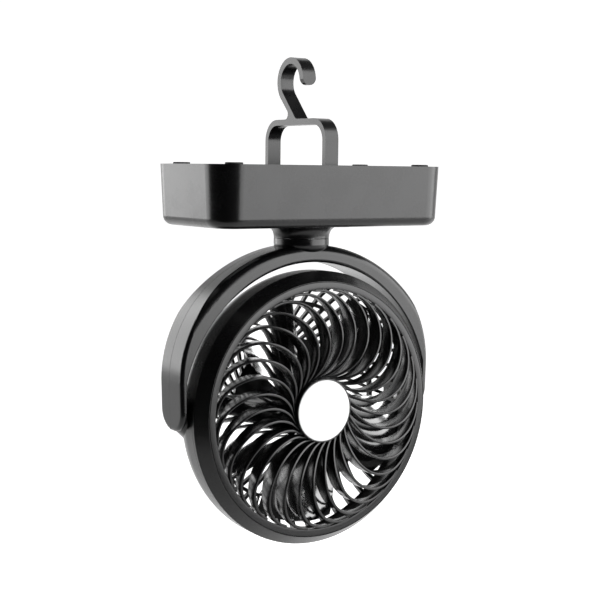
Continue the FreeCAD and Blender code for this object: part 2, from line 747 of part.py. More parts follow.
# ================================================================ yoke
def arc_pt(cx_, cz_, r, x):
    return cz_ + root(r * r - (x - cx_) * (x - cx_))


zt = yk_co + root(yk_ro * yk_ro - yk_tx * yk_tx)
zi = piv_z + root(yk_ri * yk_ri - yk_arm * yk_arm)


def yoke_outline(sk):
    return poly(sk, [(yk_bx, yk_end), (yk_sx, yk_sz), (yk_tx, zt), (-yk_tx, zt), (-yk_sx, yk_sz), (-yk_bx, yk_end),
                     (-yk_arm, yk_end), (-yk_arm, zi), (0, piv_z + yk_ri), (yk_arm, zi), (yk_arm, yk_end)],
                {1: (yk_sr, 1), 2: (yk_ro, 1), 3: (yk_sr, 1), 7: (yk_ri, -1), 8: (yk_ri, -1)})


def yoke_shell(name, face, depth, sgn):
    """sgn -1: front shell, from the seam toward -Y. sgn +1: rear shell."""
    b = body(name)
    pad(b, yoke_outline(sketch(b, "XZ_Plane", yk_s)), depth, 1 if sgn < 0 else -1)
    # rounded arm ends, seen from the side
    sk = sketch(b, "YZ_Plane", -100)
    zc = yk_end + yk_tip
    yc = face - sgn * yk_tip
    if sgn < 0:
        poly(sk, [(face, zc), (yc, yk_end), (yc, yk_end - 2), (face - 2, yk_end - 2), (face - 2, zc)], {0: (yk_tip, 1)})
    else:
        poly(sk, [(face, zc), (face + 2, zc), (face + 2, yk_end - 2), (yc, yk_end - 2), (yc, yk_end)], {4: (yk_tip, 1)})
    cut(b, sk, 200, 1)
    def outer(e, inner=False):
        pts = [v.Point for v in e.Vertexes] + [e.valueAt((e.FirstParameter + e.LastParameter) / 2)]
        rim = near(e, y=(face.v - 0.01, face.v + 0.01)) and e.Length > 1 or \
            (near(e, z=(yk_end.v - 0.01, zc.v + 0.01)) and abs(e.BoundBox.ZLength) > 11 and e.BoundBox.YLength > 11)
        if not rim:
            return False
        inside = all(abs(p.x) < yk_arm.v + 0.01 and math.hypot(p.x, p.z - piv_z.v) < yk_ri.v + 0.6 for p in pts)
        outside = all(abs(p.x) > yk_arm.v + 1 or math.hypot(p.x, p.z - piv_z.v) > yk_ri.v + 3 for p in pts)
        return inside if inner else outside

    fillet(b, outer, yk_edge)
    fillet(b, lambda e: outer(e, True), yk_edi)
    # fuller rounding of the arch, fading out down the arms
    f = face + sgn * 0.02
    w = 3
    for oz, r, out in ((yk_co, yk_ro, 1), (piv_z + 4, yk_ri - 4, -1)):
        sk = sketch(b, "YZ_Plane", 0, 0, oz)
        rr = yk_big if out < 0 else (yk_bf if sgn < 0 else yk_bb)
        r_in, r_out = (r - rr, r) if out > 0 else (r, r + rr)
        # corner between the flat face and the cylinder of radius r
        ra = r_in if out > 0 else r_out          # on the face
        rb = r if True else r                    # on the cylinder
        ya = f - sgn * rr                        # where the rounding meets the cylinder
        if out > 0:
            pts = [(f, ra), (ya, rb), (ya, rb + w), (f + sgn * w, rb + w), (f + sgn * w, ra)]
            turn = 1 if sgn < 0 else -1
            arcs = {0: (rr, -turn)}
        else:
            pts = [(f, ra), (ya, rb), (ya, rb - w), (f + sgn * w, rb - w), (f + sgn * w, ra)]
            turn = 1 if sgn < 0 else -1
            arcs = {0: (rr, turn)}
        poly(sk, pts, arcs)
        groove(b, sk)
    # collar that meets the neck of the case
    revolve(b, poly(sketch(b, "XZ_Plane"),
                    [(0, col_z), (neck_r, col_z), (neck_r, col_b), (12.4, -51.0), (0, -51.0)], {2: (6.0, -1)}), "V_Axis")
    # keep one side of the seam only
    sk = sketch(b, "XZ_Plane", yk_s)
    rect(sk, -100, 100, -160, -40)
    cut(b, sk, 30, -1 if sgn < 0 else 1)
    # wiring channel, closed by the other shell
    x0, x1 = 60.0, 63.5
    ri2, ro2 = yk_ri + 2.3, yk_ro - yk_ch
    sk = sketch(b, "XZ_Plane", yk_s)
    poly(sk, [(-x0, piv_z + root(ri2 * ri2 - x0 * x0)), (x0, piv_z + root(ri2 * ri2 - x0 * x0)),
              (x1, yk_co + root(ro2 * ro2 - x1 * x1)), (-x1, yk_co + root(ro2 * ro2 - x1 * x1))],
         {0: (ri2, -1), 2: (ro2, 1)})
    cut(b, sk, depth - 2.4, 1 if sgn < 0 else -1)
    # seats of the stem: turned recess
    groove(b, poly(sketch(b, "XZ_Plane"), [(0, stem_f0), (stem_fr, stem_f0), (stem_fr, stem_f1), (stem_r, stem_f1),
                                           (stem_r, col_z + 1), (0, col_z + 1)]), "V_Axis")
    sk = sketch(b, "XY_Plane", stem_f0 + 0.1)
    circ(sk, 0, 0, stem_i)
    cut(b, sk, 4.0, -1)
    # seats of the tilt pins: turned recess
    for sx in (1, -1):
        groove(b, poly(sketch(b, "XZ_Plane", 0, 0, piv_z),
                       [(sx * 82, 0), (sx * 82, pp_r), (sx * 84, pp_r), (sx * 84, pp_fr), (sx * 85.2, pp_fr), (sx * 85.2, 0)]),
               "H_Axis")
    return b


scr_pos = []
for q, mid in ((ys_x1, ys_r1), (ys_x2, ys_r2)):
    scr_pos.append((q, piv_z + root(mid * mid - q * q)))

b = yoke_shell("yoke_f", yk_f, yk_s - yk_f, -1)
sk = sketch(b, "XZ_Plane", yk_s)
for q, z in scr_pos:
    circ(sk, q, z, 2.7)
    circ(sk, -q, z, 2.7)
pad(b, sk, yk_s - yk_f - 1.8, 1)
sk = sketch(b, "XZ_Plane", yk_s)
for q, z in scr_pos:
    circ(sk, q, z, scr_r)
    circ(sk, -q, z, scr_r)
cut(b, sk, 9, 1)
node(b, "yoke_front_shell")

b = yoke_shell("yoke_r", yk_b, yk_b - yk_s, 1)
sk = sketch(b, "XZ_Plane", yk_s)
for q, z in scr_pos:
    circ(sk, q, z, 3.5)
    circ(sk, -q, z, 3.5)
pad(b, sk, yk_b - yk_s - 1.0, -1)
sk = sketch(b, "XZ_Plane", yk_s - 1)
for q, z in scr_pos:
    circ(sk, q, z, scr_r + 0.25)
    circ(sk, -q, z, scr_r + 0.25)
cut(b, sk, 20, -1)
sk = sketch(b, "XZ_Plane", yk_b - 5)
for q, z in scr_pos:
    circ(sk, q, z, 2.6)
    circ(sk, -q, z, 2.6)
cut(b, sk, 20, -1)
node(b, "yoke_rear_shell")

scr = []
for i, (q, z) in enumerate(scr_pos):
    c = turned("yoke_screw%d" % i, [(-7.4, 0), (-7.4, 0.5), (-6.4, scr_r), (7.6, scr_r), (7.6, 2.4), (8.6, 2.4), (9.2, 1.9),
                                    (9.2, 0.9), (8.3, 0.9), (8.3, 0)], axis="y")
    place(c, q, 0, z)
    scr += mirror(c, "x")
node(group("yoke_scr", *scr), "yoke_screws")

b = turned("tilt_pin", [(72.0, 0), (72.0, pp_r - 0.4), (72.4, pp_r), (84.0, pp_r), (84.0, pp_fr), (85.2, pp_fr), (85.2, 0)], axis="x")
place(b, 0, 0, piv_z)
node(group("tilt_pins", *mirror(b, "x")), "pivot_pins")

# ================================================================ head (local origin on the tilt axis)
cage_ang = [math.radians(93.14 + 120 * k) for k in range(3)]   # each on a rib of the cage
b = turned("bezel", [(gr_y, gr_ro + 0.25), (gr_y, gr_ro + 0.45), (cone_y, bz_r), (bz_y, bz_r), (bz_y, bz_r - cg_w - 0.15),
                     (-11.2, bz_r - cg_w - 0.15), (-11.2, bz_r - cg_w - 2.2), (-16.6, bz_r - cg_w - 2.2), (-19.4, gr_ri + 1.4),
                     (-21.0, gr_ri + 1.4), (-21.0, gr_ro + 0.25)], axis="y")
sk = sketch(b, "XZ_Plane", -18.0)
for a in cage_ang:
    circ(sk, bz_s.v * math.cos(a), bz_s.v * math.sin(a), 2.7)
pad(b, sk, 12.0, -1)
sk = sketch(b, "XZ_Plane", -5.0)
for a in cage_ang:
    circ(sk, bz_s.v * math.cos(a), bz_s.v * math.sin(a), 1.0)
cut(b, sk, 9.5, 1)
# room for the pivot bosses of the cage
sk = sketch(b, "XZ_Plane")
for sx in (1, -1):
    poly(sk, [(sx * 73.0, 0), (sx * 73.0, hb_r + 0.3), (sx * 84.0, hb_r + 0.3), (sx * 84.0, 0)])
groove(b, sk)
node(b, "front_bezel", True)

# grille: 30 curved bars with a bulged front, ring and hub
b = body("grille")
ph0 = math.radians(4.8)


def turn2(x, y, ang=ph0):
    return (x * math.cos(ang) - y * math.sin(ang), x * math.sin(ang) + y * math.cos(ang))


ac, bc = (37.06, 27.90), (43.062, 24.387)
th = math.atan2(13.674 - ac[1], 61.369 - ac[0])


def on(c, r, deg):
    return turn2(c[0] + r * math.cos(deg), c[1] + r * math.sin(deg))


def bar_sketch(b, off):
    sk = sketch(b, "XZ_Plane", off)
    h = bar_w.v / 2
    a0 = math.radians(-141.0)          # inside the hub
    a2 = math.radians(31.0)            # inside the ring
    ro, rin = a_r.v + h, a_r.v - h
    so, sin_ = c_r.v + h, c_r.v - h
    P = [on(ac, ro, a0), on(ac, ro, th), on(bc, so, a2), on(bc, sin_, a2), on(ac, rin, th), on(ac, rin, a0)]
    poly(sk, P, {0: (a_r + bar_w / 2, 1), 1: (c_r + bar_w / 2, 1), 3: (c_r - bar_w / 2, -1), 4: (a_r - bar_w / 2, -1)})
    return sk


f = pad(b, bar_sketch(b, bar_b), 12.5, 1)
pt = b.newObject("PartDesign::PolarPattern", "grille_pattern")
pt.Originals = [f]
pt.Axis = ([x for x in b.Origin.OriginFeatures if x.Role == "Y_Axis"][0], [""])
pt.Angle = 360
pt.Occurrences = gr_n
b.Tip = pt
vol(b)
# front of the bars follows an arc, their back is flat


def bulge_y(r, R):
    return bc_y.v - math.sqrt(R * R - (r - bc_r.v) ** 2)


r0, r1 = 12.0, 78.0
ya, yb = bulge_y(r0, bulge_r.v), bulge_y(r1, bulge_r.v)
groove(b, poly(sketch(b, "YZ_Plane"), [(ya, r0), (yb, r1), (-36, r1), (-36, r0)], {0: (bulge_r, -1)}))
sk = sketch(b, "YZ_Plane")
poly(sk, [(gr_y, gr_ri), (gr_y, gr_ro), (-21.05, gr_ro), (-21.05, gr_ri)])
revolve(b, sk)
sk = sketch(b, "YZ_Plane")
rect(sk, -40, -10, gr_ro, gr_ro + 6)
try:
    groove(b, sk)
except RuntimeError:
    b.removeObject(b.Tip)
# hub cup with the recess of the disc
revolve(b, poly(sketch(b, "YZ_Plane"), [(hub_y + 0.2, 0), (hub_y + 0.2, hub_r - 0.6), (hub_y + 0.5, hub_r), (-19.5, hub_r), (-19.5, hub_r - 1.6),
                                        (-19.5, 0)]))
groove(b, poly(sketch(b, "YZ_Plane"), [(hub_y - 6, 0), (hub_y - 6, hub_r - 0.9), (hub_y + 1.2, hub_r - 0.9), (hub_y + 1.2, 0)]))
groove(b, poly(sketch(b, "YZ_Plane"), [(-23.5, 0), (-23.5, hub_r - 1.8), (-19, hub_r - 1.8), (-19, 0)]))
node(b, "front_grille", True)

b = turned("badge", [(hub_y + 1.2, 0), (hub_y + 1.2, hub_r - 0.95), (hub_y + 0.3, hub_r - 0.95), (hub_y, hub_r - 1.25), (hub_y, 0)], axis="y")
node(b, "hub_badge", True)

# rear cage: shell, slots, ring rib, pivot bosses, motor disc
b = body("cage")
sh_c = bz_r - sh_r
cy0 = bz_y + 0.2
poly(sketch(b, "YZ_Plane"), [(cy0, bz_r - cg_w), (cy0, bz_r), (-8, bz_r), (-8 + sh_r, sh_c), (cg_y, 40), (cg_y, 0), (cg_y - cg_w, 0),
                             (cg_y - cg_w, 40), (-8 + sh_r - cg_w, sh_c), (-8, bz_r - cg_w)],
     {2: (sh_r, -1), 8: (sh_r - cg_w, 1)})
revolve(b, doc.getObject(b.Name).Group[-1])
# motor disc: bearing seat, screw holes, inner spigot of the can
sk = sketch(b, "XZ_Plane", cg_y - cg_w + 0.5)
circ(sk, 0, 0, 5.6)
pad(b, sk, 4.9, 1)
sk = sketch(b, "XZ_Plane", 2)
circ(sk, 0, 0, 4.0)
cut(b, sk, 9.2, -1)
sk = sketch(b, "XZ_Plane", 2)
circ(sk, 0, 0, 2.2)
cut(b, sk, 11.2, -1)
sk = sketch(b, "XZ_Plane", 20)
for k in range(3):
    a = math.radians(90 + 120 * k)
    circ(sk, 10.5 * math.cos(a), 10.5 * math.sin(a), 1.3)
cut(b, sk, 10, 1)
# shallow ring on the motor disc, seen from behind
groove(b, poly(sketch(b, "YZ_Plane"), [(cg_y - 0.7, 33.0), (cg_y + 1, 33.0), (cg_y + 1, 34.2), (cg_y - 0.7, 34.2)]))
slot_n = cg_n
rt = 26.0


def rib_pt(r, side_deg, half):
    """Point at radius r on the edge of a slot whose centreline is tangent to a circle of radius rt."""
    a = math.acos(rt / r) - math.acos(rt / 38.0)
    # centreline leans clockwise going outward as seen from the front
    ang = -a + math.radians(side_deg)
    return (r * math.cos(ang) - half * math.sin(ang), r * math.sin(ang) + half * math.cos(ang))


def slot(sk, ra, rb):
    n = 3
    pts = []
    rs = [ra + (rb - ra) * i / n for i in range(n + 1)]
    for r in rs:
        w = 2 * math.pi * r / slot_n - 2.1
        a = math.acos(rt / r) - math.acos(rt / 38.0)
        ang = -a * 1.0
        da = (w / 2) / r
        pts.append((r * math.cos(ang - da), r * math.sin(ang - da)))
    for r in reversed(rs):
        w = 2 * math.pi * r / slot_n - 2.1
        a = math.acos(rt / r) - math.acos(rt / 38.0)
        ang = -a * 1.0
        da = (w / 2) / r
        pts.append((r * math.cos(ang + da), r * math.sin(ang + da)))
    poly(sk, pts)


sk = sketch(b, "XZ_Plane", 20)
slot(sk, 38.5, 59.0)
slot(sk, 61.2, 84.0)
f = cut(b, sk, 20.0, 1)
yax = [x for x in b.Origin.OriginFeatures if x.Role == "Y_Axis"][0]
pt = b.newObject("PartDesign::PolarPattern", "cage_pattern")
pt.Originals = [f]
pt.Axis = (yax, [""])
pt.Angle = 360
pt.Occurrences = slot_n
b.Tip = pt
vol(b)
# pivot bosses
sk = sketch(b, "XZ_Plane")
for sx in (1, -1):
    poly(sk, [(sx * 73.6, 0), (sx * 73.6, hb_r), (sx * 77.0, hb_r), (sx * (hb_x - 0.6), hb_n), (sx * hb_x, hb_n - 0.6), (sx * hb_x, 0)])
revolve(b, sk)
sk = sketch(b, "XZ_Plane")
for sx in (1, -1):
    poly(sk, [(sx * 71.0, 0), (sx * 71.0, pb_o), (sx * 84.0, pb_o), (sx * 84.0, 0)])
groove(b, sk)
# screw bosses behind the bezel posts
sk = sketch(b, "XZ_Plane", -5.8)
for a in cage_ang:
    circ(sk, bz_s.v * math.cos(a), bz_s.v * math.sin(a), 2.7)
pad(b, sk, 11.4, -1)
sk = sketch(b, "XZ_Plane", 12)
for a in cage_ang:
    circ(sk, bz_s.v * math.cos(a), bz_s.v * math.sin(a), 2.1)
cut(b, sk, 13.0, 1)
sk = sketch(b, "XZ_Plane", 12)
for a in cage_ang:
    circ(sk, bz_s.v * math.cos(a), bz_s.v * math.sin(a), 1.2)
cut(b, sk, 20.0, 1)
node(b, "rear_cage", True)

b = turned("pbush", [(73.7, pb_i), (73.7, pb_o), (hb_x, pb_o), (hb_x, pb_i)], axis="x")
node(group("pbushes", *mirror(b, "x")), "pivot_bushes", True)

cage_scr = []
for k, a in enumerate(cage_ang):
    c = turned("cage_screw%d" % k, [(-14.2, 0), (-13.6, 1.0), (-0.95, 1.0), (-0.95, 2.0), (0.1, 2.0), (0.5, 1.5), (0.5, 0.7), (-0.3, 0.7),
                                    (-0.3, 0)], axis="y")
    place(c, bz_s * math.cos(a), 0, bz_s * math.sin(a))
    cage_scr.append(c)
node(group("cage_scr", *cage_scr), "cage_screws", True)

# motor
m_y1 = cg_y - cg_w
b = turned("can", [(m_y0, 4.0), (m_y0, can_r - 0.8), (m_y0 + 0.8, can_r), (m_y1, can_r), (m_y1, can_r - 1.0), (m_y0 + 1.2, can_r - 1.0),
                   (m_y0 + 1.2, 5.4), (m_y0 + 2.8, 5.4), (m_y0 + 2.8, 4.0)], {1: (0.8, -1)}, axis="y")
sk = sketch(b, "XZ_Plane", m_y1)
for k in range(3):
    a = math.radians(90 + 120 * k)
    circ(sk, 10.5 * math.cos(a), 10.5 * math.sin(a), 2.2)
pad(b, sk, 3.2, 1)
sk = sketch(b, "XZ_Plane", m_y1 + 0.5)
for k in range(3):
    a = math.radians(90 + 120 * k)
    circ(sk, 10.5 * math.cos(a), 10.5 * math.sin(a), 0.8)
cut(b, sk, 5, 1)
# three ribs join the screw posts to the can
for k in range(3):
    a = math.radians(90 + 120 * k)
    sk = sketch(b, "XZ_Plane", m_y1)
    u, w = (math.cos(a), math.sin(a)), (-math.sin(a), math.cos(a))
    poly(sk, [(12.4 * u[0] - 1.2 * w[0], 12.4 * u[1] - 1.2 * w[1]), (14.4 * u[0] - 1.2 * w[0], 14.4 * u[1] - 1.2 * w[1]),
              (14.4 * u[0] + 1.2 * w[0], 14.4 * u[1] + 1.2 * w[1]), (12.4 * u[0] + 1.2 * w[0], 12.4 * u[1] + 1.2 * w[1])])
    pad(b, sk, 3.2, 1)
node(b, "motor_can", True)

c = turned("motor_screw", [(9.6, 0), (10.0, 0.8), (cg_y, 0.8), (cg_y, 1.9), (cg_y + 0.8, 1.9), (cg_y + 1.1, 1.5), (cg_y + 1.1, 0)], axis="y")
c0 = turned("motor_screw1", [(9.6, 0), (10.0, 0.8), (cg_y, 0.8), (cg_y, 1.9), (cg_y + 0.8, 1.9), (cg_y + 1.1, 1.5), (cg_y + 1.1, 0)], axis="y")
place(c, 0, 0, 10.5)
place(c0, 10.5 * math.cos(math.radians(210)), 0, 10.5 * math.sin(math.radians(210)))
node(group("motor_scr", c, *mirror(c0, "x")), "motor_screws", True)

b = body("statorb")
revolve(b, poly(sketch(b, "YZ_Plane"), [(0.6, 10.8), (0.6, can_r - 1.0), (7.4, can_r - 1.0), (7.4, 10.8)]))
sk = sketch(b, "XZ_Plane", 2.2)
rect(sk, 7.4, 11.2, -1.2, 1.2)
f = pad(b, sk, 3.6, -1)
sk2 = sketch(b, "XZ_Plane", 2.2)
rect(sk2, 6.4, 7.6, -2.6, 2.6)
f2 = pad(b, sk2, 3.6, -1)
pt = b.newObject("PartDesign::PolarPattern", "stator_pattern")
pt.Originals = [f, f2]
pt.Axis = ([x for x in b.Origin.OriginFeatures if x.Role == "Y_Axis"][0], [""])
pt.Angle = 360
pt.Occurrences = 6
b.Tip = pt
vol(b)
node(b, "stator", True)

mb = cutout("mboard", cyl("mboard_d", "y", 0, 7.6, 0, Q(8.4, "8.4"), Q(0.8, "0.8")),
            cyl("mboard_h", "y", 0, 7.0, 0, Q(5.8, "5.8"), Q(3.0, "3.0")))
doc.recompute()
node(mb, "motor_board", True)

b = turned("bearing", [(m_y0 + 0.1, shaft_r + 0.03), (m_y0 + 0.1, 4.0), (m_y0 + 2.6, 4.0), (m_y0 + 2.6, shaft_r + 0.03)], axis="y")
b2 = turned("bearing2", [(8.4, shaft_r + 0.03), (8.4, 4.0), (10.9, 4.0), (10.9, shaft_r + 0.03)], axis="y")
node(group("bearings", b, b2), "motor_bearings", True)

# ---------------------------------------------------------------- impeller and rotor
b = turned("shaft", [(-21.6, 0), (-21.6, shaft_r - 0.3), (-21.3, shaft_r), (11.6, shaft_r), (11.6, 0)], axis="y")
node(b, "motor_shaft", True)
b = turned("magnet", [(1.2, shaft_r), (1.2, 5.8), (6.8, 5.8), (6.8, shaft_r)], axis="y")
node(b, "rotor_magnet", True)

b = body("fan")
# turned parts start between two blades, at -X
revolve(b, poly(sketch(b, "XY_Plane"), [(0, imp_y0), (2.0 - fan_h, imp_y0), (-fan_h, imp_y0 + 2.0), (-fan_h, imp_y1), (0, imp_y1)],
                {1: (2.0, -1)}), "V_Axis")
secs = []
for x, hw_, y0, y1, skew in ((12.0, 7.0, -16.0, -0.4, 0.0), (42.0, 20.0, -14.0, -3.2, -4.0), (73.0, 24.5, -12.0, -4.4, -11.0)):
    sk = sketch(b, "YZ_Plane", x)
    # leading edge in front at +Z, trailing edge behind at -Z, bowed
    p0, p1 = (y0, hw_ + skew), (y1, -hw_ + skew)
    L = math.hypot(p1[0] - p0[0], p1[1] - p0[1])
    nx, ny = -(p1[1] - p0[1]) / L, (p1[0] - p0[0]) / L
    tt = blade_t.v
    q1, q0 = (p1[0] + nx * tt, p1[1] + ny * tt), (p0[0] + nx * tt, p0[1] + ny * tt)
    poly(sk, [p0, p1, q1, q0], {0: (L * 1.35, 1), 2: (L * 1.35 - tt, -1)})
    secs.append(sk)
bl = b.newObject("PartDesign::AdditiveLoft", "blade")
bl.Profile = secs[0]
bl.Sections = secs[1:]
bl.Ruled = False
vol(b)
pt = b.newObject("PartDesign::PolarPattern", "blade_pattern")
pt.Originals = [bl]
pt.Axis = ([x for x in b.Origin.OriginFeatures if x.Role == "Y_Axis"][0], [""])
pt.Angle = 360
pt.Occurrences = 5
b.Tip = pt
vol(b)
for pts in ([(-fan_r, -30), (-100, -30), (-100, 20), (-fan_r, 20)],
            [(-shaft_r - 2.5, imp_y0 + 2.2), (1.3 - fan_h, imp_y0 + 2.2), (1.3 - fan_h, 20), (0, 20), (0, m_y0 - 1.0), (-shaft_r - 2.5, m_y0 - 1.0)],
            [(0, -30), (-shaft_r, -30), (-shaft_r, 20), (0, 20)]):
    groove(b, poly(sketch(b, "XY_Plane"), pts), "V_Axis")
node(b, "impeller", True)
place(b, shift_x, shift_y, shift_z + piv_z, FreeCAD.Rotation(V(0, 1, 0), rotor_a.v))
b.setExpression(".Placement.Rotation.Angle", rotor_a.t)

b = body("inut")
sk = sketch(b, "XZ_Plane", imp_y0)
nr = 3.4
poly(sk, [(nr * math.cos(math.radians(60 * k)), nr * math.sin(math.radians(60 * k))) for k in range(6)])
circ(sk, 0, 0, shaft_r)
pad(b, sk, 2.4, 1)
node(b, "impeller_nut", True)
doc.recompute()

# ================================================================ checks and export
for o in doc.Objects:
    st = o.State
    if "Invalid" in st or "Error" in st:
        raise RuntimeError("%s (%s) is %s" % (o.Name, o.Label, st))
for label, o in NODES.items():
    sh = o.Shape
    if sh.isNull() or not sh.isValid() or not sh.Solids:
        raise RuntimeError(label + " has no valid shape")
for old in os.listdir("parts"):
    if old.endswith(".step") and old[:-5] not in NODES:
        os.remove(os.path.join("parts", old))
for label, o in NODES.items():
    o.Shape.exportStep("parts/" + label + ".step")
print(len(NODES), "sub-parts written")
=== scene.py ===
import json
import math
import bpy
import bmesh
from mathutils import Vector, Matrix


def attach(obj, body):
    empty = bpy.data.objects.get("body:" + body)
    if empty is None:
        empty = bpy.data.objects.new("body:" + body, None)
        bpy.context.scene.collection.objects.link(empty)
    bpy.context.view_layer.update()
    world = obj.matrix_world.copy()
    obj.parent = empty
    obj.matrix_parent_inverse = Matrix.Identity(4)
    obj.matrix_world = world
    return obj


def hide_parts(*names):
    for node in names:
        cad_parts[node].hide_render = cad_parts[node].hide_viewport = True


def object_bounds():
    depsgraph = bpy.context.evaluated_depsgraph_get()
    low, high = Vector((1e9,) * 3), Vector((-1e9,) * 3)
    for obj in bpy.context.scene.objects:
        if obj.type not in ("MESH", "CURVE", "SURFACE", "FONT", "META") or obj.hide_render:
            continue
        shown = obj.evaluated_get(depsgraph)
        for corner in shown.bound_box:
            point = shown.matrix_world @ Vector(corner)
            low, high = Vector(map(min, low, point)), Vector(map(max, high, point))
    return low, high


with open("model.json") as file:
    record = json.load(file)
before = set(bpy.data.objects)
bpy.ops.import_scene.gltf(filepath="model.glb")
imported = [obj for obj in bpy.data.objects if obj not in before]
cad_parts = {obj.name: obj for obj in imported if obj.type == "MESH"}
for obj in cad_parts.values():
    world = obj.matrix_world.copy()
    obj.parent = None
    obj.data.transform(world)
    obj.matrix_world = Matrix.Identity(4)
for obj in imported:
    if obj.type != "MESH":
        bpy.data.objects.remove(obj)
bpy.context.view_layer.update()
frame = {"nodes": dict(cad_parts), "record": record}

scene = bpy.context.scene
nodes = frame["nodes"]

# the model's own numbers, in millimetres; SH moves the case frame to the file's frame
SH = Vector((1.2, -5.3, -48.8))
PZ = -142.6
MM = 0.001


def P(x, y, z):
    """A point of the case frame, mm, as a point of the file, m."""
    return Vector(((x + SH.x) * MM, (y + SH.y) * MM, (z + SH.z) * MM))


def H(x, y, z):
    """A point of the head frame, mm (origin on the tilt axis), as a point of the file, m."""
    return P(x, y, z + PZ)


# ---------------------------------------------------------------- materials
def new_mat(name, color, rough, metallic=0.0, spec=0.5, coat=0.0, coat_rough=0.1, ior=1.47):
    m = bpy.data.materials.new(name)
    m.use_nodes = True
    nt = m.node_tree
    bs = nt.nodes["Principled BSDF"]
    bs.inputs["Base Color"].default_value = (*color, 1)
    bs.inputs["Roughness"].default_value = rough
    bs.inputs["Metallic"].default_value = metallic
    bs.inputs["Specular IOR Level"].default_value = spec
    bs.inputs["IOR"].default_value = ior
    bs.inputs["Coat Weight"].default_value = coat
    bs.inputs["Coat Roughness"].default_value = coat_rough
    return m, nt, bs


def coords(nt, scale=(1, 1, 1)):
    tc = nt.nodes.new("ShaderNodeTexCoord")
    mp = nt.nodes.new("ShaderNodeMapping")
    mp.inputs["Scale"].default_value = scale
    nt.links.new(tc.outputs["Object"], mp.inputs["Vector"])
    return mp.outputs["Vector"]


def noise(nt, vec, scale, detail=3.0, rough=0.5):
    n = nt.nodes.new("ShaderNodeTexNoise")
    n.inputs["Scale"].default_value = scale
    n.inputs["Detail"].default_value = detail
    n.inputs["Roughness"].default_value = rough
    nt.links.new(vec, n.inputs["Vector"])
    return n.outputs["Fac"]


def ramp(nt, fac, stops):
    r = nt.nodes.new("ShaderNodeValToRGB")
    el = r.color_ramp.elements
    while len(el) > 1:
        el.remove(el[-1])
    el[0].position, el[0].color = stops[0][0], (*stops[0][1], 1)
    for p, c in stops[1:]:
        e = el.new(p)
        e.color = (*c, 1)
    nt.links.new(fac, r.inputs["Fac"])
    return r.outputs["Color"]


def maprange(nt, fac, a, b, lo=0.0, hi=1.0):
    m = nt.nodes.new("ShaderNodeMapRange")
    m.inputs["From Min"].default_value = lo
    m.inputs["From Max"].default_value = hi
    m.inputs["To Min"].default_value = a
    m.inputs["To Max"].default_value = b
    nt.links.new(fac, m.inputs["Value"])
    return m.outputs["Result"]


def bump(nt, height, bs, strength, dist):
    b = nt.nodes.new("ShaderNodeBump")
    b.inputs["Strength"].default_value = strength
    b.inputs["Distance"].default_value = dist
    nt.links.new(height, b.inputs["Height"])
    nt.links.new(b.outputs["Normal"], bs.inputs["Normal"])


def moulded(name, color, rough, spread=0.05, grain=3500.0, depth=0.00002, strength=0.25, spec=0.5, tone=0.10, coat=0.0, coat_rough=0.1,
            ior=1.47):
    """Moulded plastic: fine spark-erosion grain, faint cloudiness and uneven gloss."""
    m, nt, bs = new_mat(name, color, rough, spec=spec, coat=coat, coat_rough=coat_rough, ior=ior)
    v = coords(nt)
    cloud = noise(nt, v, 18.0, 4.0)
    lo = tuple(c * (1 - tone) for c in color)
    hi = tuple(c * (1 + tone) for c in color)
    nt.links.new(ramp(nt, cloud, [(0.3, lo), (0.7, hi)]), bs.inputs["Base Color"])
    fine = noise(nt, v, grain, 2.0)
    patch = noise(nt, v, 60.0, 3.0)
    add = nt.nodes.new("ShaderNodeMath")
    add.operation = "ADD"
    nt.links.new(maprange(nt, patch, rough - spread, rough + spread, 0.3, 0.7), add.inputs[0])
    nt.links.new(maprange(nt, fine, -spread * 0.5, spread * 0.5, 0.3, 0.7), add.inputs[1])
    nt.links.new(add.outputs[0], bs.inputs["Roughness"])
    if strength > 0:
        bump(nt, fine, bs, strength, depth)
    return m


def metal(name, color, rough, stretch=(1, 1, 1), scale=800.0, tone=0.12, strength=0.15):
    m, nt, bs = new_mat(name, color, rough, metallic=1.0)
    v = coords(nt, stretch)
    f = noise(nt, v, scale, 4.0, 0.6)
    lo = tuple(c * (1 - tone) for c in color)
    hi = tuple(min(1, c * (1 + tone)) for c in color)
    nt.links.new(ramp(nt, f, [(0.3, lo), (0.7, hi)]), bs.inputs["Base Color"])
    nt.links.new(maprange(nt, f, rough * 0.75, rough * 1.3, 0.3, 0.7), bs.inputs["Roughness"])
    bump(nt, f, bs, strength, 0.00001)
    return m


def board(name, base, line, scale=350.0):
    """Printed circuit board: solder mask with faint tracks and dots."""
    m, nt, bs = new_mat(name, base, 0.3)
    v = coords(nt)
    w = nt.nodes.new("ShaderNodeTexVoronoi")
    w.feature = "DISTANCE_TO_EDGE"
    w.distance = "MANHATTAN" if hasattr(w, "distance") else w.distance
    w.inputs["Scale"].default_value = scale
    nt.links.new(v, w.inputs["Vector"])
    nt.links.new(ramp(nt, w.outputs["Distance"], [(0.0, line), (0.06, line), (0.1, base)]), bs.inputs["Base Color"])
    bump(nt, w.outputs["Distance"], bs, 0.2, 0.00003)
    return m


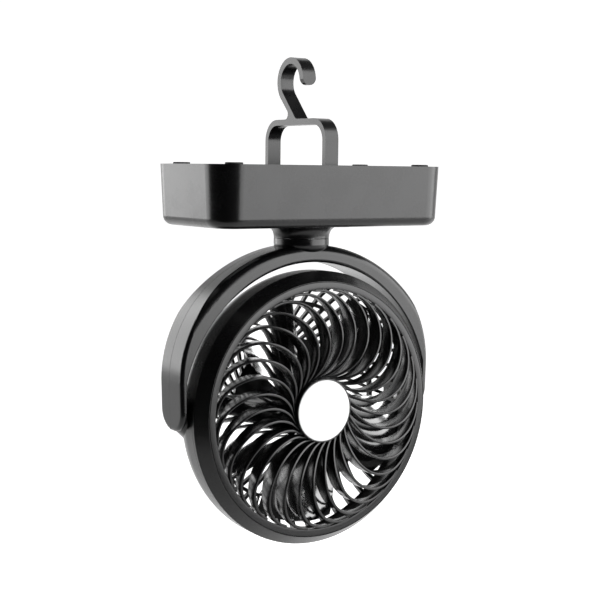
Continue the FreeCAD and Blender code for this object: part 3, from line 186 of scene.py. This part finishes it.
M = {}
M["case_black"] = moulded("case_black", (0.003, 0.003, 0.0033), 0.27, 0.025, 3200.0, 0.00002, 0.2)
M["hook_black"] = moulded("hook_black", (0.0025, 0.0025, 0.0028), 0.27, 0.03, 3000.0, 0.00002, 0.15)
M["yoke_black"] = moulded("yoke_black", (0.0025, 0.0025, 0.0028), 0.25, 0.02, 3200.0, 0.00002, 0.18)
M["grille_black"] = moulded("grille_black", (0.0025, 0.0025, 0.0028), 0.24, 0.02, 3200.0, 0.00002, 0.12)
M["impeller_black"] = moulded("impeller_black", (0.004, 0.004, 0.0045), 0.11, 0.02, 900.0, 0.00001, 0.03, spec=1.0, coat=1.0, coat_rough=0.04, ior=2.6)
M["badge_white"] = moulded("badge_white", (0.86, 0.86, 0.86), 0.22, 0.03, 1500.0, 0.00001, 0.08, tone=0.01)
M["rubber_black"] = moulded("rubber_black", (0.02, 0.02, 0.02), 0.75, 0.08, 2500.0, 0.00006, 0.5)
M["button_grey"] = moulded("button_grey", (0.10, 0.10, 0.105), 0.4, 0.05, 2500.0, 0.00003, 0.3)
M["bearing_plastic"] = moulded("bearing_plastic", (0.72, 0.71, 0.67), 0.35, 0.05, 1200.0, 0.00002, 0.15)
M["switch_black"] = moulded("switch_black", (0.03, 0.03, 0.03), 0.45, 0.05)
M["cell_wrap"] = moulded("cell_wrap", (0.04, 0.18, 0.40), 0.25, 0.04, 700.0, 0.00004, 0.15, coat=0.3)
M["stator_iron"] = metal("stator_iron", (0.25, 0.25, 0.26), 0.5, (1, 60, 1), 60.0)
M["magnet_grey"] = metal("magnet_grey", (0.2, 0.2, 0.21), 0.6)
M["screw_steel"] = metal("screw_steel", (0.45, 0.45, 0.46), 0.3)
M["pin_steel"] = metal("pin_steel", (0.6, 0.6, 0.6), 0.22)
M["port_steel"] = metal("port_steel", (0.7, 0.7, 0.7), 0.25)
M["can_steel"] = metal("can_steel", (0.5, 0.5, 0.52), 0.3, (1, 12, 1))
M["nickel"] = metal("nickel", (0.75, 0.74, 0.70), 0.28)
M["stem_alu"] = metal("stem_alu", (0.75, 0.75, 0.77), 0.3, (1, 1, 14))
M["bearing_brass"] = metal("bearing_brass", (0.72, 0.55, 0.28), 0.3)
M["board_green"] = board("board_green", (0.015, 0.13, 0.05), (0.04, 0.24, 0.10))
M["board_white"] = board("board_white", (0.8, 0.8, 0.78), (0.6, 0.6, 0.56))

lens, nt, bs = new_mat("lens_milky", (0.86, 0.87, 0.86), 0.35)
bs.inputs["Transmission Weight"].default_value = 0.35
v = coords(nt)
n = noise(nt, v, 900.0, 2.0)
nt.links.new(maprange(nt, n, 0.28, 0.45, 0.3, 0.7), bs.inputs["Roughness"])
nt.links.new(ramp(nt, noise(nt, v, 25.0), [(0.3, (0.82, 0.83, 0.82)), (0.7, (0.90, 0.90, 0.88))]), bs.inputs["Base Color"])
bump(nt, n, bs, 0.2, 0.00003)
M["lens_milky"] = lens

for entry in frame["record"]["subparts"]:
    ob = nodes[entry["node"]]
    ob.data.materials.clear()
    ob.data.materials.append(M[entry["material_slot"]])

# ---------------------------------------------------------------- mesh helpers
def add_mesh(name, verts, faces, mat, body_name, smooth=True, sharp=None):
    me = bpy.data.meshes.new(name)
    me.from_pydata(verts, [], faces)
    me.validate()
    if smooth:
        for p in me.polygons:
            p.use_smooth = True
    if sharp is not None:
        me.set_sharp_from_angle(angle=math.radians(sharp))
    ob = bpy.data.objects.new(name, me)
    scene.collection.objects.link(ob)
    if mat is not None:
        ob.data.materials.append(mat)
    if body_name:
        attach(ob, body_name)
    return ob


def lathe(name, prof, mat, body_name, centre, axis="y", n=180, closed=True, sharp=35.0):
    """Turned piece. prof is a list of (along, radius) in mm; points with radius 0 close to the axis."""
    verts, faces, rings = [], [], []
    for a, r in prof:
        if r < 1e-6:
            verts.append(centre(a, 0, 0))
            rings.append([len(verts) - 1] * n)
        else:
            ring = []
            for k in range(n):
                t = 2 * math.pi * k / n
                verts.append(centre(a, r * math.cos(t), r * math.sin(t)))
                ring.append(len(verts) - 1)
            rings.append(ring)
    m = len(rings)
    for i in range(m if closed else m - 1):
        A, B = rings[i], rings[(i + 1) % m]
        for k in range(n):
            q = [A[k], A[(k + 1) % n], B[(k + 1) % n], B[k]]
            q = [v for j, v in enumerate(q) if v != q[j - 1]]
            if len(q) >= 3:
                faces.append(q)
    return add_mesh(name, verts, faces, mat, body_name, True, sharp)


def round_poly(pts, r, n=5):
    """Polygon with its corners rounded by r (a number or one per corner)."""
    out = []
    m = len(pts)
    for i in range(m):
        p0, p1, p2 = Vector(pts[i - 1]), Vector(pts[i]), Vector(pts[(i + 1) % m])
        rr = r[i] if isinstance(r, (list, tuple)) else r
        if rr <= 0:
            out.append(tuple(p1))
            continue
        a, b = (p0 - p1), (p2 - p1)
        la, lb = a.length, b.length
        a.normalize()
        b.normalize()
        ang = a.angle(b)
        t = min(rr / math.tan(ang / 2), la * 0.49, lb * 0.49)
        rr = t * math.tan(ang / 2)
        c = p1 + (a + b).normalized() * (rr / math.sin(ang / 2))
        s, e = p1 + a * t, p1 + b * t
        va, vb = s - c, e - c
        a0 = math.atan2(va.y, va.x)
        da = math.atan2(vb.y, vb.x) - a0
        while da > math.pi:
            da -= 2 * math.pi
        while da < -math.pi:
            da += 2 * math.pi
        for k in range(n + 1):
            out.append((c.x + rr * math.cos(a0 + da * k / n), c.y + rr * math.sin(a0 + da * k / n)))
    return out


# ---------------------------------------------------------------- front grille: ring, bars, hub cup
BAR_W, BAR_BACK = 1.55, -20.5
BULGE_R, BULGE_CR, BULGE_CY = 54.0, 45.2, 23.0
ARC_A, RAD_A = (37.06, 27.90), 28.17
ARC_B, RAD_B = (43.062, 24.387), 21.21
PH0 = math.radians(4.8)


def bulge(r):
    return BULGE_CY - math.sqrt(BULGE_R ** 2 - (r - BULGE_CR) ** 2)


def bar_line(n=64):
    """Centreline of one bar in the front view, mm, with its tangent."""
    th = math.atan2(13.674 - ARC_A[1], 61.369 - ARC_A[0])
    a0, a2 = math.radians(-139.0), math.radians(30.0)
    la, lb = RAD_A * (th - a0), RAD_B * (a2 - th)
    out = []
    for i in range(n + 1):
        s = (la + lb) * i / n
        if s <= la:
            a = a0 + s / RAD_A
            p, c = (ARC_A[0] + RAD_A * math.cos(a), ARC_A[1] + RAD_A * math.sin(a)), a
        else:
            a = th + (s - la) / RAD_B
            p, c = (ARC_B[0] + RAD_B * math.cos(a), ARC_B[1] + RAD_B * math.sin(a)), a
        out.append((p, (-math.sin(c), math.cos(c))))
    return out


def grille_bars():
    """Thirty curved blades: rounded front edge on the bulge, flat back."""
    verts, faces = [], []
    w = BAR_W / 2
    front = round_poly([(-w, 3.0), (-w, 0), (w, 0), (w, 3.0)], [0, 0.5, 0.5, 0], 5)
    line = bar_line()
    for k in range(30):
        ca, sa = math.cos(PH0 + 2 * math.pi * k / 30), math.sin(PH0 + 2 * math.pi * k / 30)
        base = len(verts)
        for (px, pz), (tx, tz) in line:
            nx, nz = tz, -tx
            yf = bulge(math.hypot(px, pz))
            sec = [(u, yf + v) for u, v in front[1:-1]] + [(w * 0.97, BAR_BACK - 0.2), (w * 0.8, BAR_BACK), (-w * 0.8, BAR_BACK), (-w * 0.97, BAR_BACK - 0.2)]
            m = len(sec)
            for u, y in sec:
                x, z = px + nx * u, pz + nz * u
                verts.append(H(x * ca - z * sa, y, x * sa + z * ca))
        n = len(line)
        for i in range(n - 1):
            for j in range(m):
                a, b = base + i * m + j, base + i * m + (j + 1) % m
                faces.append((a, a + m, b + m, b))
        faces.append([base + j for j in range(m)])
        faces.append([base + (n - 1) * m + j for j in reversed(range(m))])
    return add_mesh("grille_bars", verts, faces, M["grille_black"], "head", True, 40)


bars = grille_bars()
ring = lathe("grille_ring", round_poly([(-24.3, 71.1), (-24.3, 75.2), (-21.05, 75.2), (-21.05, 71.1)], [0.35, 0.35, 0.1, 0.1], 4),
             M["grille_black"], "head", lambda a, c, s: H(c, a, s), n=240)
cup = lathe("hub_cup", round_poly([(-26.75, 18.05), (-26.9, 18.35), (-26.8, 18.75), (-26.35, 19.0), (-19.5, 19.0), (-19.5, 17.3), (-23.5, 17.2),
                                   (-23.5, 2.0), (-25.7, 2.0), (-25.7, 18.05)], [0.05, 0.1, 0.15, 0.2, 0.1, 0.1, 0.3, 0.1, 0.1, 0.05], 3),
            M["grille_black"], "head", lambda a, c, s: H(c, a, s), n=160)
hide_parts("front_grille")

# ---------------------------------------------------------------- seam of the yoke shells, a fine shadow line round the outer face
def yoke_seam():
    right = [(86.42, -149.6), (86.82, -135.0), (87.2, -122.0)]
    a1 = math.acos((57.9 - 17.2) / 70.0)
    right += [(17.2 + 70.0 * math.cos(a1 * i / 24), -122.0 + 70.0 * math.sin(a1 * i / 24)) for i in range(1, 25)]
    b0 = math.atan2(81.04, 57.9)
    right += [(99.6 * math.cos(b0 + (math.pi / 2 - b0) * i / 40), -146.1 + 99.6 * math.sin(b0 + (math.pi / 2 - b0) * i / 40))
              for i in range(1, 41)]
    path = right + [(-x, z) for x, z in reversed(right[:-1])]
    verts, faces = [], []
    for i, (x, z) in enumerate(path):
        p, q = path[max(i - 1, 0)], path[min(i + 1, len(path) - 1)]
        t = Vector((q[0] - p[0], q[1] - p[1])).normalized()
        nx, nz = t.y, -t.x
        for y, o in ((0.84, 0.03), (1.16, 0.03), (1.16, -0.25), (0.84, -0.25)):
            verts.append(P(x + nx * o, y, z + nz * o))
    n = len(path)
    for i in range(n - 1):
        for j in range(4):
            a, b = i * 4 + j, i * 4 + (j + 1) % 4
            faces.append((a, a + 4, b + 4, b))
    faces.append((0, 1, 2, 3))
    faces.append(tuple((n - 1) * 4 + j for j in (3, 2, 1, 0)))
    return add_mesh("yoke_seam_line", verts, faces, M["switch_black"], "yoke", True, 40)


yoke_seam()


# ---------------------------------------------------------------- push buttons: dished caps, almost level with the case
def button(nm, x):
    prof = [(-32.4, 0.0), (-32.4, 5.4), (-33.1, 5.4), (-33.1, 4.3), (-35.0, 4.3), (-35.25, 4.18), (-35.35, 3.9), (-35.32, 3.4),
            (-35.12, 2.2), (-35.02, 1.0), (-35.0, 0.0)]
    o = lathe(nm + "_cap", prof, M["button_grey"], nm, lambda a, c, s: P(x + c, -28.3 + s, a), n=72)
    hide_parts(nm)


button("fan_button", 10.0)
button("light_button", -10.0)

# ---------------------------------------------------------------- camera, measured from the photograph
cam_pos = P(-408.25, -623.21, -2.16)
look = Vector((0.54459, 0.83223, -0.10401)).normalized()
right0 = look.cross(Vector((0, 0, 1))).normalized()
up0 = right0.cross(look)
roll = math.radians(0.65)
right = math.cos(roll) * right0 + math.sin(roll) * up0
up = -math.sin(roll) * right0 + math.cos(roll) * up0
cam_data = bpy.data.cameras.new("camera")
cam_data.sensor_width = 36.0
cam_data.lens = 1254.83 / 600.0 * 36.0
cam_data.clip_start = 0.01
cam_data.clip_end = 50
cam = bpy.data.objects.new("camera", cam_data)
scene.collection.objects.link(cam)
rot = Matrix((right, up, -look)).transposed()
cam.matrix_world = Matrix.Translation(cam_pos) @ rot.to_4x4()
scene.camera = cam

# ---------------------------------------------------------------- floor, light
def sweep(name, w, d0, d1, hgt, z0, rad_):
    """A floor that curves up into a backdrop, built as one strip."""
    bm = bmesh.new()
    prof = [(d0, z0), (d1 - rad_, z0)]
    for i in range(1, 25):
        a = math.pi / 2 * i / 24
        prof.append((d1 - rad_ + rad_ * math.sin(a), z0 + rad_ - rad_ * math.cos(a)))
    prof.append((d1, z0 + hgt))
    rows = []
    for y, z in prof:
        rows.append([bm.verts.new((x, y, z)) for x in (-w, w)])
    for a, b in zip(rows, rows[1:]):
        f = bm.faces.new((a[0], a[1], b[1], b[0]))
        f.smooth = True
    me = bpy.data.meshes.new(name)
    bm.to_mesh(me)
    bm.free()
    ob = bpy.data.objects.new(name, me)
    scene.collection.objects.link(ob)
    return ob


glowing_floor_mat, nt, bs = new_mat("paper_painted_glow", (0.8, 0.8, 0.8), 0.9, spec=0.1)
nt.links.new(ramp(nt, noise(nt, coords(nt), 3.0), [(0.3, (0.795, 0.795, 0.795)), (0.7, (0.805, 0.805, 0.805))]), bs.inputs["Base Color"])
# the floor paper glows as painted light: emission strength 0.05 in front of the fan, rising to 0.78 from 0.9 m behind
# it, so the backdrop reads white and lights the fan from behind and below
bs.inputs["Emission Color"].default_value = (1, 1, 1, 1)
sep = nt.nodes.new("ShaderNodeSeparateXYZ")
nt.links.new(coords(nt), sep.inputs[0])
nt.links.new(maprange(nt, sep.outputs["Y"], 0.05, 0.78, -0.2, 0.9), bs.inputs["Emission Strength"])
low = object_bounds()[0][2]
floor = sweep("floor", 7.0, -0.8, 5.0, 6.0, low - 0.4, 2.5)
floor.data.materials.append(glowing_floor_mat)
floor.rotation_euler = (0, 0, -math.atan2(look.x, look.y))

world = bpy.data.worlds.new("world")
scene.world = world
world.use_nodes = True
bg = world.node_tree.nodes["Background"]
bg.inputs["Color"].default_value = (1, 1, 1, 1)
wn = world.node_tree.nodes
wt = wn.new("ShaderNodeMapRange")
wt.inputs["To Min"].default_value = 0.02
wt.inputs["To Max"].default_value = 1.0
world.node_tree.links.new(wn.new("ShaderNodeLightPath").outputs["Is Camera Ray"], wt.inputs["Value"])
world.node_tree.links.new(wt.outputs["Result"], bg.inputs["Strength"])


def softbox(name, azimuth, elevation, dist, width, z0, z1, radiance):
    """Upright soft light. azimuth: degrees from -Y toward +X, seen from above; it spans z0 to z1 above the fan's middle."""
    a, e = math.radians(azimuth), math.radians(elevation)
    d = bpy.data.lights.new(name, "AREA")
    d.shape = "RECTANGLE"
    d.size, d.size_y = width, z1 - z0
    d.energy = radiance * math.pi * width * (z1 - z0)
    o = bpy.data.objects.new(name, d)
    scene.collection.objects.link(o)
    o.location = Vector((dist * math.sin(a), -dist * math.cos(a), (z0 + z1) / 2 - 0.1))
    aim = Vector((-math.sin(a) * math.cos(e), math.cos(a) * math.cos(e), -math.sin(e)))
    o.rotation_euler = aim.to_track_quat("-Z", "Y").to_euler()
    o.visible_camera = False
    return o


softbox("right", 46, 0, 1.8, 2.5, -0.42, 1.7, 4.9)
softbox("left_back", -146, 0, 1.7, 1.5, -0.19, 1.3, 3.8)
softbox("top", 0, 90, 0.01, 1.6, 0.8, 2.4, 0.7).location = (0, 0, 1.5)

scene.view_settings.view_transform = "Standard"
scene.view_settings.look = "None"
scene.view_settings.exposure = 0.0
scene.view_settings.gamma = 1.0
